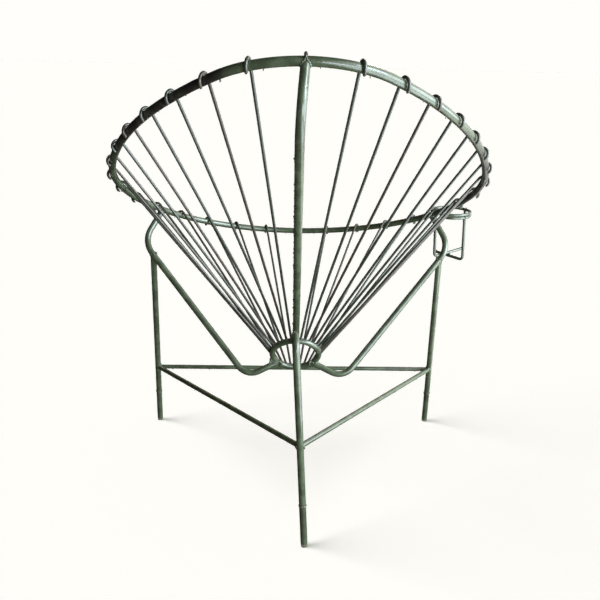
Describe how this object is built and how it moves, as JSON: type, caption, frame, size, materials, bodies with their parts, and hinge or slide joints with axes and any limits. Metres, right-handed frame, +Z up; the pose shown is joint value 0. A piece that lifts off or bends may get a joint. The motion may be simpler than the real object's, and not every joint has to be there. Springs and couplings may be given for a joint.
{
  "type": "acapulco chair",
  "caption": "Acapulco chair frame of welded steel rod in olive green enamel: egg-shaped hoop, radiating seat wires, three legs with braces and a wire cup holder on the sitter's right.",
  "frame": {"origin": "on the floor under the middle of the chair's box", "axes": "+Z up, -Y towards the front of the seat, +X towards the sitter's left"},
  "size_m": [0.7408, 0.7666, 0.8526],
  "materials": {
    "frame_enamel": "gloss",
    "seat_wire_enamel": "gloss",
    "cup_holder_enamel": "gloss",
    "foot_enamel": "satin"
  },
  "bodies": {
    "root": {"hoop": "frame_enamel", "spine": "frame_enamel", "seat_ring": "frame_enamel", "support_left": "frame_enamel", "support_right": "frame_enamel", "leg_front_left": "frame_enamel", "leg_front_right": "frame_enamel", "leg_rear": "frame_enamel", "foot_front_left": "foot_enamel", "foot_front_right": "foot_enamel", "foot_rear": "foot_enamel", "brace_front": "frame_enamel", "brace_left": "frame_enamel", "brace_right": "frame_enamel", "cup_ring": "cup_holder_enamel", "cup_strand": "cup_holder_enamel", "cup_cradle_upper": "cup_holder_enamel", "cup_cradle_lower": "cup_holder_enamel", "wire_back": "seat_wire_enamel", "wire_left_1": "seat_wire_enamel", "wire_left_2": "seat_wire_enamel", "wire_left_3": "seat_wire_enamel", "wire_left_4": "seat_wire_enamel", "wire_left_5": "seat_wire_enamel", "wire_left_6": "seat_wire_enamel", "wire_left_7": "seat_wire_enamel", "wire_left_8": "seat_wire_enamel", "wire_left_9": "seat_wire_enamel", "wire_left_10": "seat_wire_enamel", "wire_left_11": "seat_wire_enamel", "wire_left_12": "seat_wire_enamel", "wire_left_13": "seat_wire_enamel", "wire_left_14": "seat_wire_enamel", "wire_left_15": "seat_wire_enamel", "wire_front": "seat_wire_enamel", "wire_right_15": "seat_wire_enamel", "wire_right_14": "seat_wire_enamel", "wire_right_13": "seat_wire_enamel", "wire_right_12": "seat_wire_enamel", "wire_right_11": "seat_wire_enamel", "wire_right_10": "seat_wire_enamel", "wire_right_9": "seat_wire_enamel", "wire_right_8": "seat_wire_enamel", "wire_right_7": "seat_wire_enamel", "wire_right_6": "seat_wire_enamel", "wire_right_5": "seat_wire_enamel", "wire_right_4": "seat_wire_enamel", "wire_right_3": "seat_wire_enamel", "wire_right_2": "seat_wire_enamel", "wire_right_1": "seat_wire_enamel"}
  },
  "joints": []
}
